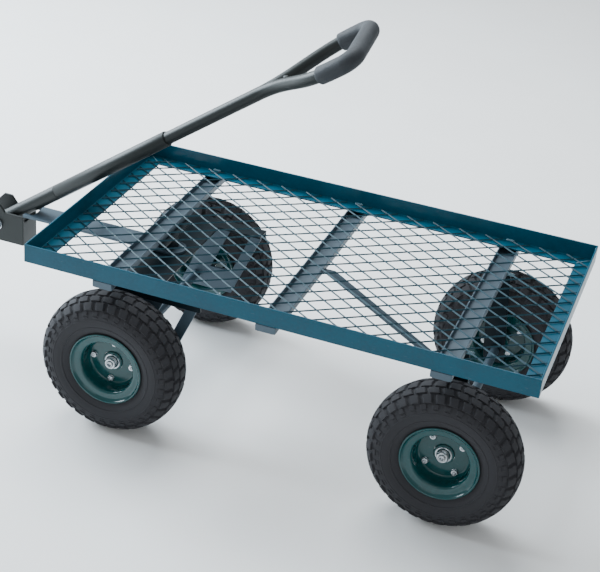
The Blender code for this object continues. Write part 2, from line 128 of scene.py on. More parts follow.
class Finish:
    """A procedural material under construction around one Principled BSDF."""

    def __init__(self, name, colour, **constants):
        self.material = bpy.data.materials.new(name)
        self.material.use_nodes = True
        self.material.diffuse_color = (*colour, 1.0)
        self.tree = self.material.node_tree
        self.shader = self.tree.nodes["Principled BSDF"]
        self.shader.inputs["Base Color"].default_value = (*colour, 1.0)
        for label, value in constants.items():
            self.shader.inputs[label.replace("_", " ").title().replace("Ior", "IOR")
                               ].default_value = value

    def add(self, kind, settings=None, output=0, **inputs):
        """A node of any kind: its settings first, then the values or links of its sockets."""
        node = self.tree.nodes.new(kind)
        for label, value in (settings or {}).items():
            setattr(node, label, value)
        for label, value in inputs.items():
            self.feed(node.inputs[label.replace("_", " ")], value)
        return Socket(self.tree, node.outputs[output])

    def feed(self, slot, value):
        if isinstance(value, Socket):
            self.tree.links.new(value.link, slot)
        else:
            slot.default_value = value

    def place(self, stretch=(1.0, 1.0, 1.0)):
        where = self.add("ShaderNodeTexCoord", output="Object")
        if stretch == (1.0, 1.0, 1.0):
            return where
        return self.add("ShaderNodeMapping", Vector=where, Scale=stretch)

    def noise(self, scale, detail=4.0, roughness=0.55, stretch=(1.0, 1.0, 1.0)):
        return self.add("ShaderNodeTexNoise", Vector=self.place(stretch), Scale=scale,
                        Detail=detail, Roughness=roughness)

    def cells(self, scale, feature="F1"):
        return self.add("ShaderNodeTexVoronoi", {"feature": feature}, output="Distance",
                        Vector=self.place(), Scale=scale)

    def step(self, value, low, high):
        """0 below low, 1 above high and a smooth rise between them."""
        node = self.tree.nodes.new("ShaderNodeMapRange")
        node.interpolation_type = "SMOOTHSTEP"
        self.feed(node.inputs["Value"], value)
        node.inputs["From Min"].default_value = low
        node.inputs["From Max"].default_value = high
        return Socket(self.tree, node.outputs["Result"])

    def blend(self, factor, first, second):
        """A colour between two others, each an (r, g, b) or a socket."""
        node = self.tree.nodes.new("ShaderNodeMix")
        node.data_type = "RGBA"
        self.feed(node.inputs[0], factor)
        for slot, value in ((node.inputs[6], first), (node.inputs[7], second)):
            self.feed(slot, value if isinstance(value, Socket) else (*value, 1.0))
        return Socket(self.tree, node.outputs[2])

    def edges(self, low=0.52, high=0.60):
        """1 on the raised edges of a piece, where its faces turn away from each other."""
        return self.step(self.add("ShaderNodeNewGeometry", output="Pointiness"), low, high)

    def bump(self, height, distance, strength=1.0):
        self.wire("Normal", self.add("ShaderNodeBump", Height=height, Distance=distance,
                                     Strength=strength))

    def wire(self, label, value):
        self.feed(self.shader.inputs[label], value)
        return self


def shade(colour, factor):
    return tuple(min(1.0, c * factor) for c in colour)


def paint(name, colour, roughness, coat, wear=0.35, peel=0.00004, gloss=0.22):
    """Sprayed enamel: nearly even coverage, faint orange peel and fine pale scuffs."""
    f = Finish(name, colour, roughness=roughness, coat_weight=coat, coat_roughness=0.06,
               specular_ior_level=gloss)
    cloud = f.noise(16.0, 4.0)
    grain = f.noise(190.0, 3.0)
    base = f.blend(f.step(cloud * 0.6 + grain * 0.4, 0.36, 0.64), shade(colour, 0.90),
                   shade(colour, 1.10))
    scuff = f.step(f.noise(240.0, 5.0, stretch=(0.25, 1.0, 1.0)), 0.64, 0.74) * wear
    f.wire("Base Color", f.blend(scuff.clipped(), base, (0.12, 0.19, 0.22)))
    f.wire("Roughness", (roughness + (cloud - 0.5) * 0.16 + (grain - 0.5) * 0.10).clipped())
    f.bump(f.noise(420.0, 2.0) + f.noise(60.0, 2.0) * 1.4, peel)
    return f.material


def zinc(name, colour):
    """Bright zinc plating: mottled spangle, fine scratches and dull spots."""
    f = Finish(name, colour, metallic=1.0)
    mottle = f.noise(110.0, 5.0)
    lines = f.noise(260.0, 3.0, stretch=(1.0, 0.12, 1.0))
    dull = f.step(f.noise(45.0, 4.0), 0.50, 0.72)
    base = f.blend(f.step(mottle, 0.35, 0.65), shade(colour, 0.72), shade(colour, 1.12))
    f.wire("Base Color", f.blend(dull * 0.5, base, (0.30, 0.29, 0.26)))
    f.wire("Roughness", (0.24 + dull * 0.22 + (lines - 0.5) * 0.25).clipped())
    f.bump(lines, 0.00006)
    return f.material


def rubber(name, colour):
    """Moulded tyre rubber: a soft sheen, olive dust on the tread blocks, and painted shade that
    darkens the grooves.
    """
    f = Finish(name, colour, roughness=0.5, specular_ior_level=0.5)
    cloud = f.noise(18.0, 4.0)
    grain = f.noise(230.0, 4.0)
    base = f.blend(f.step(cloud, 0.34, 0.68), shade(colour, 0.82), shade(colour, 1.20))
    raised = f.edges(0.50, 0.56)
    # Painted shade: the hollows between the tread blocks are darkened towards a quarter of the
    # rubber's colour.
    shaded_grooves = f.edges(0.49, 0.44)
    dust = raised * 0.45 + f.step(grain * 0.6 + cloud * 0.4, 0.50, 0.66) * 0.10
    base = f.blend(dust.clipped(), base, (0.048, 0.056, 0.048))
    f.wire("Base Color", f.blend(shaded_grooves * 0.75, base, shade(colour, 0.25)))
    f.wire("Roughness", (0.42 + dust * 0.45 + (grain - 0.5) * 0.16).clipped())
    f.bump(grain + f.noise(700.0, 2.0) * 0.6, 0.00014)
    return f.material


def foam(name, colour):
    """Closed-cell foam: fine pits, a grey rub where a hand holds it."""
    f = Finish(name, colour, roughness=0.7, specular_ior_level=0.4)
    pits = f.cells(900.0)
    rub = f.step(f.noise(26.0, 4.0), 0.45, 0.70)
    base = f.blend(rub * 0.55, colour, (0.085, 0.095, 0.105))
    f.wire("Base Color", f.blend(f.step(pits, 0.25, 0.65) * 0.35, base, shade(colour, 0.5)))
    f.wire("Roughness", (0.52 + rub * 0.16 + pits * 0.18).clipped())
    f.bump(pits + f.noise(180.0, 3.0) * 0.8, 0.00025)
    return f.material


def studio_floor(name, colour):
    """Pale studio floor with the faintest unevenness."""
    f = Finish(name, colour, roughness=0.8, specular_ior_level=0.2)
    f.wire("Base Color", f.blend(f.step(f.noise(3.0, 3.0), 0.3, 0.7), shade(colour, 0.985),
                                 shade(colour, 1.01)))
    return f.material


def finishes(context):
    """The cart's finishes, made once and then shared by name."""
    made = bpy.data.materials
    if "deck_paint" not in made:
        c = context.scene.cart_finishes
        paint("deck_paint", tuple(c.deck), 0.32, 0.06, wear=0.20)
        paint("strand_paint", tuple(c.strand), 0.42, 0.0, wear=0.30, gloss=0.14)
        paint("slate_paint", tuple(c.slate), 0.36, 0.08)
        # Painted shade: near-black paint for the parts that sit in the shade under the deck.
        paint("under_shade_paint", tuple(c.under), 0.40, 0.05, wear=0.10, gloss=0.15)
        paint("black_enamel", tuple(c.enamel), 0.14, 0.60, wear=0.05, peel=0.00001, gloss=0.45)
        paint("rim_enamel", tuple(c.rim), 0.17, 0.30, wear=0.12, peel=0.00002, gloss=0.35)
        paint("weld_paint", tuple(c.weld), 0.26, 0.40, wear=0.80, gloss=0.50)
        zinc("zinc_plate", tuple(c.zinc))
        rubber("tyre_rubber", tuple(c.rubber))
        foam("grip_foam", tuple(c.foam))
        studio_floor("studio_floor", tuple(c.floor))
    return made


# ---------------------------------------------------------------- surfaces on grids
class Shell:
    """Point grids gathered into one closed mesh."""

    def __init__(self):
        self.points, self.quads, self.caps, self.count = [], [], [], 0

    def grid(self, points, wrap=False, caps=True):
        """Rows of closed sections joined by quads.

        Row i, column j is point (i, j); columns always run round.  Rows wrap into a ring,
        or else the first and last section are closed by one face each."""
        rows, cols = points.shape[:2]
        index = self.count + np.arange(rows * cols).reshape(rows, cols)
        self.count += rows * cols
        self.points.append(points.reshape(-1, 3))
        if caps and not wrap:
            self.caps += [index[0][::-1].tolist(), index[-1].tolist()]
        if wrap:
            index = np.vstack([index, index[:1]])
        index = np.hstack([index, index[:, :1]])
        corners = (index[:-1, :-1], index[:-1, 1:], index[1:, 1:], index[1:, :-1])
        self.quads += np.stack(corners, -1).reshape(-1, 4).tolist()
        return self

    def piece(self, name, body, material, slot, replaces=(), angle=38.0):
        mesh = bpy.data.meshes.new(name)
        mesh.from_pydata(np.vstack(self.points), [], self.quads + self.caps)
        work = bmesh.new()
        work.from_mesh(mesh)
        bmesh.ops.recalc_face_normals(work, faces=work.faces)
        work.to_mesh(mesh)
        work.free()
        mesh.shade_smooth()
        mesh.set_sharp_from_angle(angle=math.radians(angle))
        return hang(mesh, name, body, material, replaces)


def hang(mesh, name, body, material, replaces=()):
    """Make an object of a mesh, give it its finish and let it ride on its body."""
    mesh.materials.clear()
    mesh.materials.append(material)
    obj = bpy.data.objects.new(name, mesh)
    bpy.context.scene.collection.objects.link(obj)
    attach(obj, body)
    if replaces:
        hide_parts(*replaces)
    return obj


def softened(node, width, body, material, segments=2):
    """A frame node's own shape with its sharp edges rounded by a small radius."""
    mesh = frame["nodes"][node].data.copy()
    work = bmesh.new()
    work.from_mesh(mesh)
    bmesh.ops.remove_doubles(work, verts=work.verts, dist=0.00001)
    bmesh.ops.dissolve_limit(work, angle_limit=math.radians(1.0), verts=work.verts,
                             edges=work.edges)
    bmesh.ops.recalc_face_normals(work, faces=work.faces)
    work.to_mesh(mesh)
    work.free()
    mesh.shade_smooth()
    obj = hang(mesh, node + "_body", body, material, [node])
    bevel = obj.modifiers.new("edges", "BEVEL")
    bevel.width = width
    bevel.segments = segments
    bevel.limit_method = "ANGLE"
    bevel.angle_limit = math.radians(30.0)
    weigh = obj.modifiers.new("normals", "WEIGHTED_NORMAL")
    weigh.keep_sharp = True
    return obj


def curve_through(knots, samples):
    """A smooth curve through knots: each stretch is a cubic whose end slopes are half the
    chord between the neighbouring knots (Catmull-Rom)."""
    knots = np.asarray(knots, float)
    padded = np.vstack([2 * knots[0] - knots[1], knots, 2 * knots[-1] - knots[-2]])
    t = np.linspace(0, len(knots) - 1, samples)
    i = np.minimum(t.astype(int), len(knots) - 2)
    u = (t - i)[:, None]
    a, b, c, d = (padded[i + k] for k in range(4))
    return 0.5 * (2 * b + (c - a) * u + (2 * a - 5 * b + 4 * c - d) * u ** 2
                  + (3 * b - a - 3 * c + d) * u ** 3)


def beside(path, distance):
    """A plane path moved sideways along its own normals (left of its direction)."""
    slope = np.gradient(path, axis=0)
    slope /= np.linalg.norm(slope, axis=1, keepdims=True)
    return path + distance * np.stack([-slope[:, 1], slope[:, 0]], -1)


def wall(path, thickness):
    """Closed section of sheet metal that follows a plane path, half its thickness each side."""
    return np.vstack([beside(path, thickness / 2), beside(path, -thickness / 2)[::-1]])


def around(section, steps, centre, side=1.0, turn=0.0):
    """A section (radius, height) turned about the line through centre along Y.

    x = r cos a, z = r sin a, y = side * height; the ring wraps."""
    a = turn + np.arange(steps) * math.tau / steps
    r, h = section[:, 0], section[:, 1]
    grid = np.stack([np.cos(a)[:, None] * r, np.broadcast_to(side * h, (steps, len(r))),
                     np.sin(a)[:, None] * r], -1)
    return grid + centre


def swept(path, radius, sides=40, normal=(0.0, 1.0, 0.0)):
    """A round bar along a plane path: each station's circle stands square to the path, in
    the plane of the given normal and the path's own sideways direction."""
    path = np.asarray(path, float)
    ahead = np.gradient(path, axis=0)
    ahead /= np.linalg.norm(ahead, axis=1, keepdims=True)
    normal = np.asarray(normal, float)
    across = np.cross(ahead, normal)
    across /= np.linalg.norm(across, axis=1, keepdims=True)
    a = np.arange(sides) * math.tau / sides
    radius = np.broadcast_to(np.asarray(radius, float), (len(path),))[:, None, None]
    ring = (np.cos(a)[None, :, None] * across[:, None, :]
            + np.sin(a)[None, :, None] * normal[None, None, :])
    return path[:, None, :] + ring * radius


def bead(shell, start, end, radius, pitch=0.0035, sides=10):
    """A weld bead: a round bar whose radius swells once every pitch and tapers at its ends:
    r = radius * (0.85 + 0.15 |sin(pi s / pitch)|) * (1 - (2 s / length - 1)^8) ^ 0.5."""
    start, end = np.asarray(start, float), np.asarray(end, float)
    length = np.linalg.norm(end - start)
    count = max(12, int(length / pitch) * 5)
    t = np.linspace(0.0, 1.0, count)
    swell = 0.85 + 0.15 * np.abs(np.sin(math.pi * t * length / pitch))
    taper = np.sqrt(np.clip(1.02 - (2 * t - 1) ** 8, 0.0, 1.0))
    ahead = (end - start) / length
    normal = np.cross(ahead, (0.3, 0.5, 0.81))
    normal /= np.linalg.norm(normal)
    path = start + (end - start) * t[:, None]
    shell.grid(swept(path, radius * swell * taper, sides, normal))


# ---------------------------------------------------------------- tyre
def plateau(x, low, high, edge):
    """1 between low and high with straight flanks of the given width outside."""
    return np.clip((x - low) / edge + 1, 0, 1) * np.clip((high - x) / edge + 1, 0, 1)


# Rows of tread: (inner edge, outer edge) along the section from the crown, share of a pitch
# by which the row is turned, share of the pitch that a block fills, height, lean of its flanks.
TREAD_ROWS = (
    (0.0000, 0.0078, 0.00, 0.74, 1.00, 12.0),
    (0.0112, 0.0218, 0.50, 0.72, 1.00, 16.0),
    (0.0252, 0.0375, 0.05, 0.66, 1.10, 10.0),
    (0.0405, 0.0462, 0.05, 0.46, 0.55, 0.0),
    (0.0492, 0.0512, 0.05, 0.40, 0.26, 0.0),
)
SIDE_RIBS = ((0.0545, 0.0555, 0.16), (0.0690, 0.0708, 0.24))
CARCASS = ((0.1238, 0.0), (0.1232, 0.0090), (0.1206, 0.0195), (0.1145, 0.0295), (0.1055, 0.0365),
           (0.0950, 0.0398), (0.0845, 0.0393), (0.0750, 0.0362), (0.0680, 0.0325),
           (0.0622, 0.0300))


FLANK = 0.0006          # width of a block's flank along the section
TICKS = 24              # stations in one pitch of the tread


def tyre_grid(centre, depth, blocks):
    """Tyre surface on (angle, distance along the section).

    The carcass is a smooth closed section turned about the axle.  Every tread row adds, along
    the section's normal, its height times a plateau in the angle times a plateau in the
    distance; the angle is first moved on by the lean times the distance, so the blocks of a
    row are slanted."""
    half = curve_through(CARCASS, 400)
    length = np.concatenate([[0.0], np.cumsum(np.linalg.norm(np.diff(half, axis=0), axis=1))])
    marks = [length[-1]]
    for row in TREAD_ROWS + SIDE_RIBS:
        low, high = row[:2]
        marks += [low, low - FLANK, high, high + FLANK, (low + high) / 2]
    marks += list(np.arange(0.0535, length[-1], 0.0030))
    marks = np.unique(np.round([m for m in marks if 0 <= m <= length[-1]], 5))
    s = np.concatenate([-marks[:0:-1], marks])
    base = np.stack([np.interp(np.abs(s), length, half[:, 0]),
                     np.sign(s) * np.interp(np.abs(s), length, half[:, 1])], -1)
    slope = np.gradient(base, s, axis=0)
    normal = np.stack([slope[:, 1], -slope[:, 0]], -1)
    normal /= np.linalg.norm(normal, axis=1, keepdims=True)

    tick = np.arange(TICKS) / TICKS
    phase = (np.arange(blocks)[:, None] + tick[None, :]).ravel()
    height = np.zeros((len(phase), len(s)))
    for low, high, shift, fill, rise, lean in TREAD_ROWS:
        within = np.abs((phase[:, None] + shift + lean * np.abs(s)) % 1.0 - 0.5)
        along = plateau(within, -1.0, fill / 2, 0.04)
        across = plateau(np.abs(s), low, high, FLANK)
        height = np.maximum(height, rise * along * across[None, :])
    for low, high, rise in SIDE_RIBS:
        height = np.maximum(height, rise * plateau(np.abs(s), low, high, FLANK)[None, :])
    section = base[None] + normal[None] * (height * depth)[..., None]
    inner = np.array([(0.0560, 0.0262), (0.0535, 0.0200), (0.0535, -0.0200), (0.0560, -0.0262)])
    section = np.concatenate([section, np.broadcast_to(inner, (len(phase), 4, 2))], 1)
    a = phase / blocks * math.tau
    r, h = section[..., 0], section[..., 1]
    return np.stack([np.cos(a)[:, None] * r, h, np.sin(a)[:, None] * r], -1) + centre


# ---------------------------------------------------------------- turned hardware
def hexagon(a, flats):
    """Distance from the middle to a hexagon's side at angle a."""
    wedge = (a + math.pi / 6) % (math.pi / 3) - math.pi / 6
    return flats / 2 / np.cos(wedge)


def hex_prism(shell, centre, side, flats, low, high, bore=0.0, turn=0.0, steps=72):
    """A hexagon prism about Y whose corners are cut by a cone at both ends:
    the radius is the smaller of the hexagon's and the cone's."""
    a = np.arange(steps) * math.tau / steps + turn
    hexa = hexagon(a - turn, flats)
    depth = 0.09 * flats
    rows = []
    inner = max(bore, 0.0004)
    rows.append((np.full(steps, inner), low))
    rows.append((np.full(steps, flats * 0.47), low))
    for z, cut in ((low + depth * 0.5, 0.52), (low + depth, 0.60)):
        rows.append((np.minimum(hexa, flats * cut), z))
    for z, cut in ((high - depth, 0.60), (high - depth * 0.5, 0.52)):
        rows.append((np.minimum(hexa, flats * cut), z))
    rows.append((np.full(steps, flats * 0.47), high))
    rows.append((np.full(steps, inner), high))
    grid = np.stack([np.stack([np.cos(a) * r, np.full(steps, side * z), np.sin(a) * r], -1)
                     for r, z in rows])
    shell.grid(grid + centre, wrap=bore > 0, caps=bore == 0)


def thread(shell, centre, side, radius, low, high, hole=0.45, depth=0.0012, pitch=0.00125,
           sides=32):
    """A threaded rod about Y: its radius falls by a groove once every pitch, its end is
    chamfered, with a centre hole that is a share of the radius wide."""
    z = np.arange(low, high - 0.001, pitch / 4)
    r = radius - 0.0005 * np.abs(((z / pitch) % 1.0) * 2 - 1)
    z = np.concatenate([z, [high - 0.0008, high, high, high - depth, high - depth]])
    r = np.concatenate([r, [radius - 0.0002, radius - 0.0011, radius * hole,
                            radius * hole * 0.92, 0.0003]])
    a = np.arange(sides) * math.tau / sides
    grid = np.stack([r[:, None] * np.cos(a), np.broadcast_to(side * z[:, None], (len(z), sides)),
                     r[:, None] * np.sin(a)], -1)
    shell.grid(grid + centre)


def washer(shell, centre, side, inner, outer, low, high, steps=64):
    e = min(0.0004, (high - low) / 4)
    section = np.array([(inner, low), (outer - e, low), (outer, low + e), (outer, high - e),
                        (outer - e, high), (inner, high)])
    shell.grid(around(section, steps, centre, side), wrap=True)


# ---------------------------------------------------------------- user settings
class CartSizes(bpy.types.PropertyGroup):
    """Sizes of the detail that is laid over the frame."""

    tread_depth: FloatProperty(name="Tread Depth", description="Height of the tread blocks",
                               default=0.0032, min=0.0005, max=0.0034, unit="LENGTH")
    tread_blocks: IntProperty(name="Tread Blocks", description="Blocks round one tyre",
                              default=34, min=12, max=60)
    strand_width: FloatProperty(name="Strand Width", description="Broad side of a mesh strand",
                                default=0.0026, min=0.001, max=0.004, unit="LENGTH")
    strand_thickness: FloatProperty(name="Strand Thickness",
                                    description="Narrow side of a mesh strand",
                                    default=0.0012, min=0.0005, max=0.003, unit="LENGTH")
    strand_tilt: FloatProperty(name="Strand Tilt", description="Lean of the strands' broad side",
                               default=math.radians(58.0), subtype="ANGLE")
    diamond_long: FloatProperty(name="Diamond Length", description="Long way of one diamond",
                                default=0.0490, unit="LENGTH")
    diamond_short: FloatProperty(name="Diamond Width", description="Short way of one diamond",
                                 default=0.0353, unit="LENGTH")


def colour(name, value):
    return FloatVectorProperty(name=name, description=name + " colour", subtype="COLOR",
                               size=3, min=0.0, max=1.0, default=value)


class CartFinishes(bpy.types.PropertyGroup):
    """Colours of the finishes."""

    deck: colour("Deck Paint", (0.001, 0.064, 0.105))
    strand: colour("Strand Paint", (0.014, 0.048, 0.066))
    slate: colour("Slate Paint", (0.014, 0.040, 0.058))
    # Near-black that stands in for the shade under the deck: painted shade on the carrier, rear
    # hangers and king plate.
    under: colour("Undercarriage Shade Paint", (0.003, 0.009, 0.013))
    weld: colour("Weld Paint", (0.090, 0.190, 0.240))
    enamel: colour("Black Enamel", (0.003, 0.006, 0.008))
    rim: colour("Rim Enamel", (0.001, 0.052, 0.056))
    zinc: colour("Zinc", (0.56, 0.60, 0.63))
    # Rubber colour whose blue tint is a painted sheen: the sky's reflection on the sidewalls is put
    # into the colour.
    rubber: colour("Rubber", (0.007, 0.010, 0.014))
    foam: colour("Grip Foam", (0.026, 0.031, 0.038))
    floor: colour("Studio Floor", (0.90, 0.90, 0.89))


# ---------------------------------------------------------------- operators
class CART_OT_deck_mesh(bpy.types.Operator):
    """Expanded-metal deck: two families of leaning strands that cross in bonds."""

    bl_idname = "garden_cart.deck_mesh"
    bl_label = "Deck Mesh"

    BOND = np.array([-0.0215, 0.0291])      # one bond, counted from the deck's centre
    CLEAR = 0.0025                          # between a strand's end and the mesh's edge
    SHORTEST = 0.012                        # corner strands under this are left out
    LINES = 60                              # lines of bonds to either side of that bond

    def execute(self, context):
        sizes = context.scene.cart_sizes
        long_half, short_half = sizes.diamond_long / 2, sizes.diamond_short / 2
        bond = DECK_MID[:2] + self.BOND
        low, high = DECK_LOW[:2], DECK_HIGH[:2]
        lead = math.hypot(long_half, short_half)
        shell = Shell()
        for sign in (1.0, -1.0):
            ahead = np.array([long_half, sign * short_half]) / lead
            for k in range(-self.LINES, self.LINES + 1):
                origin = bond + np.array([2 * k * long_half, 0.0])
                near, far = -2.0, 2.0
                for axis in (0, 1):
                    t = sorted(((low[axis] + self.CLEAR - origin[axis]) / ahead[axis],
                                (high[axis] - self.CLEAR - origin[axis]) / ahead[axis]))
                    near, far = max(near, t[0]), min(far, t[1])
                if far - near > self.SHORTEST:
                    self.strand(shell, origin, ahead, near, far, lead, sizes)
        shell.piece("deck_strands", "deck", finishes(context)["strand_paint"], "teal_paint",
                    ["deck_mesh"], angle=30.0)
        return {"FINISHED"}

    @staticmethod
    def strand(shell, origin, ahead, near, far, lead, sizes):
        """One bar along a line of bonds: a rounded rectangle that leans over between two
        bonds and is laid flatter at each; lean = tilt * (0.62 + 0.38 sin^2(pi t / lead))."""
        count = max(3, int(math.ceil((far - near) / lead * 4)) + 1)
        t = np.linspace(near, far, count)
        lean = sizes.strand_tilt * (0.62 + 0.38 * np.sin(math.pi * t / lead) ** 2)
        w, h = sizes.strand_width / 2, sizes.strand_thickness / 2
        e = 0.3
        ring = np.array([(-w + e * h, -h), (w - e * h, -h), (w, 0), (w - e * h, h),
                         (-w + e * h, h), (-w, 0)])
        sideways = np.array([-ahead[1], ahead[0], 0.0])
        if sideways[1] < 0:
            sideways = -sideways
        up = np.array([0.0, 0.0, 1.0])
        broad = (np.cos(lean)[:, None] * sideways + np.sin(lean)[:, None] * up)
        thin = (-np.sin(lean)[:, None] * sideways + np.cos(lean)[:, None] * up)
        middle_line = np.stack([origin[0] + ahead[0] * t, origin[1] + ahead[1] * t,
                                np.full(count, DECK_MID[2])], -1)
        grid = (middle_line[:, None, :] + ring[None, :, 0, None] * broad[:, None, :]
                + ring[None, :, 1, None] * thin[:, None, :])
        shell.grid(grid)


def end_plate(shell, low, high, side, radius=0.0042, thick=0.0022):
    """A plate that closes one end of a channel: a rectangle in x and z whose two lower
    corners are quarter circles, with a small chamfer round its outer face."""
    a = np.linspace(math.pi, 1.5 * math.pi, 7)
    left = np.stack([low[0] + radius * (1 + np.cos(a)), low[2] + radius * (1 + np.sin(a))], -1)
    right = np.stack([low[0] + high[0] - left[::-1, 0], left[::-1, 1]], -1)
    ring = np.vstack([left, right, [(high[0], high[2]), (low[0], high[2])]])
    centre = ring.mean(axis=0)
    face = high[1] if side > 0 else low[1]
    rows = ((0.0004, 0.96), (0.0, 1.0), (-thick, 1.0), (-thick, 0.9))
    grid = [np.stack([centre[0] + (ring[:, 0] - centre[0]) * k,
                      np.full(len(ring), face + side * y),
                      centre[1] + (ring[:, 1] - centre[1]) * k], -1) for y, k in rows]
    shell.grid(np.stack(grid))


class CART_OT_deck_frame(bpy.types.Operator):
    """Rails, cross members with closed ends, rear hangers and strut, all with soft edges."""

    bl_idname = "garden_cart.deck_frame"
    bl_label = "Deck Frame"

    def execute(self, context):
        made = finishes(context)
        for node in ("rail_left", "rail_right", "rail_front", "rail_rear"):
            softened(node, 0.0008, "deck", made["deck_paint"])
        for node in ("cross_front", "cross_middle", "cross_rear"):
            softened(node, 0.0008, "deck", made["slate_paint"])
            shell = Shell()
            for side in (-1.0, 1.0):
                end_plate(shell, *span(node), side)
            shell.piece(node + "_ends", "deck", made["slate_paint"], "teal_paint", angle=30.0)
        for node in ("rear_hanger_left", "rear_hanger_right"):
            # Painted shade: the rear hangers and the king plate below get the undercarriage's
            # near-black paint for the shade under the deck.
            softened(node, 0.0010, "deck", made["under_shade_paint"])
        softened("rear_strut", 0.0010, "deck", made["slate_paint"])
        softened("king_plate", 0.0010, "deck", made["under_shade_paint"])
        return {"FINISHED"}


class CART_OT_welds(bpy.types.Operator):
    """Weld beads at the frame's corners, on the cross members and on the hangers."""

    bl_idname = "garden_cart.welds"
    bl_label = "Welds"

    def execute(self, context):
        x0, x1 = RAIL_LEFT_LOW[0], RAIL_LEFT_HIGH[0]
        y0, y1 = RAIL_LEFT_LOW[1], RAIL_RIGHT_HIGH[1]
        z0, z1 = RAIL_LEFT_LOW[2], RAIL_LEFT_HIGH[2]
        shell = Shell()
        inset = 0.0032
        for x, sx in ((x0, 1), (x1, -1)):
            for y, sy in ((y0, 1), (y1, -1)):
                bead(shell, (x + sx * inset, y + sy * inset, z0 + 0.004),
                     (x + sx * inset, y + sy * inset, z1 - 0.004), 0.0016)
                bead(shell, (x + sx * 0.005, y + sy * 0.005, z0 + 0.0034),
                     (x + sx * 0.029, y + sy * 0.029, z0 + 0.0034), 0.0014)
        for node in ("cross_front", "cross_middle", "cross_rear"):
            low, high = span(node)
            for y, sy in ((y0, 1), (y1, -1)):
                for x in (low[0] + 0.001, high[0] - 0.001):
                    bead(shell, (x, y + sy * 0.006, low[2] + 0.0118),
                         (x, y + sy * 0.028, low[2] + 0.0118), 0.0016)
                bead(shell, (low[0] + 0.006, y + sy * 0.0036, z0 + 0.0040),
                     (low[0] + 0.022, y + sy * 0.0036, z0 + 0.0040), 0.0026)
        for node in ("rear_hanger_left", "rear_hanger_right"):
            low, high = span(node)
            for y in (low[1] - 0.0004, high[1] + 0.0004):
                bead(shell, (low[0] + 0.008, y, high[2] - 0.0004),
                     (high[0] - 0.008, y, high[2] - 0.0004), 0.0018)
        shell.piece("deck_welds", "deck", finishes(context)["weld_paint"], "teal_paint")

        shell = Shell()
        for node in ("front_hanger_left", "front_hanger_right"):
            low, high = span(node)
            for y in (low[1] - 0.0004, high[1] + 0.0004):
                bead(shell, (high[0] - 0.095, y, high[2] - 0.0006),
                     (high[0] - 0.012, y, high[2] - 0.0006), 0.0016)
        shell.piece("steering_welds", "front_steering", finishes(context)["slate_paint"],
                    "slate_paint")
        return {"FINISHED"}


class CART_OT_steering(bpy.types.Operator):
    """Steering carrier, front hangers, drawbar and clevis with rounded edges."""

    bl_idname = "garden_cart.steering"
    bl_label = "Steering"

    def execute(self, context):
        made = finishes(context)
        # Painted shade: the carrier gets the undercarriage's near-black paint for the shade under
        # the deck.
        softened("steering_carrier", 0.0009, "front_steering", made["under_shade_paint"])
        for node in ("front_hanger_left", "front_hanger_right", "drawbar"):
            softened(node, 0.0009, "front_steering", made["slate_paint"])
        softened("clevis", 0.0012, "front_steering", made["black_enamel"], 3)
        return {"FINISHED"}


class CART_OT_tyres(bpy.types.Operator):
    """Four pneumatic tyres with rows of tread blocks and ribbed sidewalls."""

    bl_idname = "garden_cart.tyres"
    bl_label = "Tyres"

    def execute(self, context):
        sizes = context.scene.cart_sizes
        for tag in WHEELS:
            shell = Shell()
            shell.grid(tyre_grid(WHEEL_MID[tag], sizes.tread_depth, sizes.tread_blocks),
                       wrap=True)
            shell.piece("tyre_" + tag, WHEEL_BODY[tag], finishes(context)["tyre_rubber"],
                        "tyre_rubber", ["wheel_%s_tyre" % tag], angle=32.0)
        return {"FINISHED"}


class CART_OT_rims(bpy.types.Operator):
    """Pressed rim halves with a rolled lip and a deep bowl, hub tube and bearing."""

    bl_idname = "garden_cart.rims"
    bl_label = "Rims"

    BOWL = ((0.0650, 0.0338), (0.0640, 0.0346), (0.0622, 0.0325), (0.0590, 0.0300), (0.0520, 0.0287),
            (0.0492, 0.0272), (0.0476, 0.0230), (0.0470, 0.0120), (0.0455, 0.0060),
            (0.0425, 0.0022), (0.0385, 0.0016), (0.0280, 0.0016), (0.0176, 0.0016))
    THICK = 0.0024

    def execute(self, context):
        made = finishes(context)
        for tag in WHEELS:
            centre, side = WHEEL_MID[tag], -1.0 if tag.endswith("l") else 1.0
            for part, face in (("outer", side), ("inner", -side)):
                bowl = curve_through(self.BOWL, 90)
                shell = Shell()
                shell.grid(around(wall(bowl, self.THICK), 128, centre, face), wrap=True)
                if part == "inner":
                    hub = np.array([(0.0090, -0.0058), (0.0160, -0.0058), (0.0173, -0.0046),
                                    (0.0173, 0.0288), (0.0162, 0.0300), (0.0090, 0.0300)])
                    shell.grid(around(hub, 96, centre, face), wrap=True)
                shell.piece("rim_%s_%s" % (part, tag), WHEEL_BODY[tag], made["rim_enamel"],
                            "rim_paint", ["wheel_%s_rim_%s" % (tag, part)])
            shell = Shell()
            ring = np.array([(0.0112, 0.0040), (0.0112, 0.0060), (0.0118, 0.0070),
                             (0.0136, 0.0070), (0.0142, 0.0062), (0.0142, 0.0040)])
            shell.grid(around(ring, 96, centre, side), wrap=True)
            shell.piece("bearing_" + tag, WHEEL_BODY[tag], made["zinc_plate"], "zinc")
        return {"FINISHED"}


